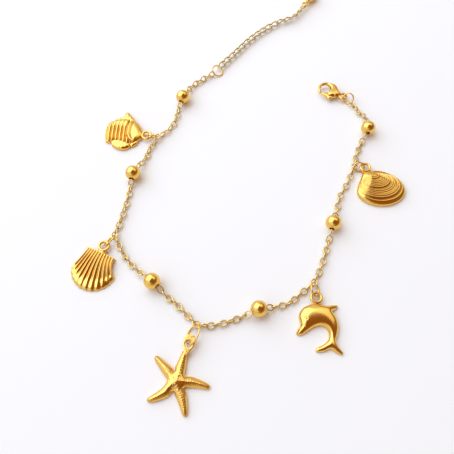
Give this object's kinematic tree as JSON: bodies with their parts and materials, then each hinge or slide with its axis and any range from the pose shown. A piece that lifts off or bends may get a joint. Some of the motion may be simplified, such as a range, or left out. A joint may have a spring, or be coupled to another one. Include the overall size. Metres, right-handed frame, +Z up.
{
  "type": "charm anklet",
  "caption": "Fine cable-chain anklet with round beads, hanging sea-creature charms, a lobster clasp and an extender chain with a drop, lying open.",
  "frame": {"origin": "middle of the lying anklet's box, on the surface that it lies on", "axes": "+Z up from the surface, +Y from the starfish towards the two open ends, +X from the fish and scallop side towards the dolphin and clam side"},
  "size_m": [0.085, 0.1326, 0.004],
  "materials": {
    "gold": "polished yellow-gold plating",
    "chain_gold": "polished pale-gold plating on fine wire"
  },
  "bodies": {
    "anklet": {"chain_1": "chain_gold", "chain_2": "chain_gold", "chain_3": "chain_gold", "chain_4": "chain_gold", "chain_5": "chain_gold", "chain_6": "chain_gold", "chain_7": "chain_gold", "chain_8": "chain_gold", "chain_9": "chain_gold", "chain_10": "chain_gold", "chain_11": "chain_gold", "chain_12": "chain_gold", "bead_1": "gold", "bead_2": "gold", "bead_3": "gold", "bead_4": "gold", "bead_5": "gold", "bead_6": "gold", "charm_link_1": "chain_gold", "charm_link_2": "chain_gold", "charm_link_3": "chain_gold", "charm_link_4": "chain_gold", "charm_link_5": "chain_gold", "fish_ring": "gold", "scallop_ring": "gold", "starfish_ring": "gold", "dolphin_ring": "gold", "clam_ring": "gold", "clasp_ring": "gold", "extender_ring": "gold", "extender_chain": "chain_gold", "extender_drop": "gold", "fish_charm": "gold", "scallop_charm": "gold", "starfish_charm": "gold", "dolphin_charm": "gold", "clam_charm": "gold", "clasp_body": "gold"},
    "lever": {"clasp_lever": "gold"}
  },
  "joints": [
    {"name": "clasp_lever_hinge", "type": "hinge", "parent": "anklet", "child": "lever", "pos_m": [0.02667, 0.02161, 0.0012], "axis": [0, 0, -1], "range_deg": [0, 24], "stiffness_Nm_per_rad": 0.005, "springref_deg": -11.46}
  ]
}
